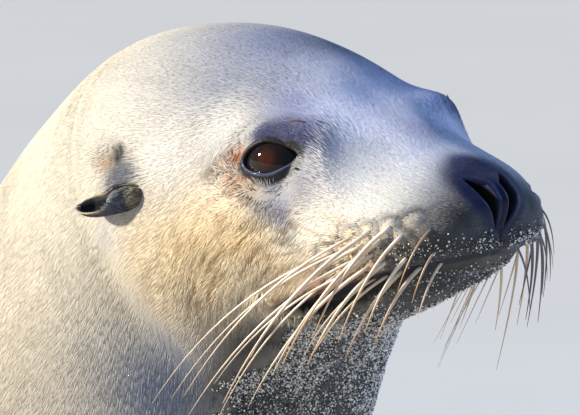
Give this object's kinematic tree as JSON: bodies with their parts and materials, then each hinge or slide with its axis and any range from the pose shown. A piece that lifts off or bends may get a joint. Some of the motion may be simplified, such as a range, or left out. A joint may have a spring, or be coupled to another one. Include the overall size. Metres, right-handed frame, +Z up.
{
  "type": "sea lion",
  "caption": "Life-size still model of a sea lion sitting up on its fore flippers, head raised and turned a little, hind flippers turned forward along the floor.",
  "frame": {"origin": "on the floor under the middle of the animal's box", "axes": "+Z up; the animal looks along -Y, its left side is at +X"},
  "size_m": [1.0106, 1.4177, 0.8216],
  "materials": {
    "coat": "short dense fur, dry, cream and silver grey",
    "flipper_skin": "bare dark skin, satin, finely wrinkled",
    "nose_skin": "moist black skin, half gloss",
    "eye_gloss": "wet dark brown eye",
    "nail": "dark horn"
  },
  "bodies": {
    "root": {"belly": "coat", "chest": "coat", "ear_left": "coat", "ear_right": "coat", "eye_left": "eye_gloss", "eye_right": "eye_gloss", "fore_arm_left": "coat", "fore_arm_right": "coat", "fore_flipper_left": "flipper_skin", "fore_flipper_right": "flipper_skin", "head": "coat", "hind_flipper_left": "flipper_skin", "hind_flipper_right": "flipper_skin", "hind_leg_left": "coat", "hind_leg_right": "coat", "jaw": "coat", "nail_left_2": "nail", "nail_left_3": "nail", "nail_left_4": "nail", "nail_right_2": "nail", "nail_right_3": "nail", "nail_right_4": "nail", "neck": "coat", "nose": "nose_skin", "tail": "coat"}
  },
  "joints": []
}
